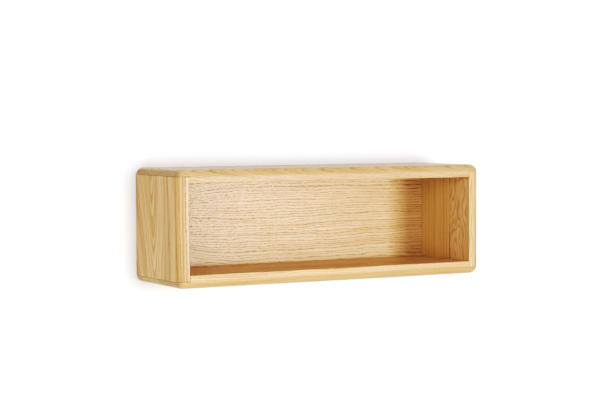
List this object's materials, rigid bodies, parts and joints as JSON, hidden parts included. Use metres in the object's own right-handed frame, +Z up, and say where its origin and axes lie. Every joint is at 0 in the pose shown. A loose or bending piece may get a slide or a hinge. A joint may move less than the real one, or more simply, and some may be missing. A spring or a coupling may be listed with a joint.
{
  "type": "wall shelf",
  "caption": "Open-front box wall shelf in solid oak with rounded outer edges, lapped corner joints, a grooved back panel and keyhole hanger plates in its rear edges.",
  "frame": {"origin": "middle of the top board's rear edge, on the plane of the wall", "axes": "+X to the right as seen from the front, +Y into the wall (the open front faces -Y), +Z up"},
  "size_m": [0.5, 0.14, 0.164],
  "materials": {
    "oak": "oiled solid oak, sanded smooth, open pores",
    "oak_veneer": "oiled oak veneer, grain across",
    "beech": "raw beech dowel",
    "zinc_plated_steel": "bright zinc plating"
  },
  "bodies": {
    "root": {"top_board": "oak", "bottom_board": "oak", "left_side": "oak", "right_side": "oak", "back_panel": "oak_veneer", "dowel_top_left_front": "beech", "dowel_top_left_rear": "beech", "dowel_top_right_front": "beech", "dowel_top_right_rear": "beech", "dowel_bottom_left_front": "beech", "dowel_bottom_left_rear": "beech", "dowel_bottom_right_front": "beech", "dowel_bottom_right_rear": "beech", "hanger_left": "zinc_plated_steel", "hanger_right": "zinc_plated_steel", "hanger_screw_left_upper": "zinc_plated_steel", "hanger_screw_left_lower": "zinc_plated_steel", "hanger_screw_right_upper": "zinc_plated_steel", "hanger_screw_right_lower": "zinc_plated_steel"}
  },
  "joints": []
}
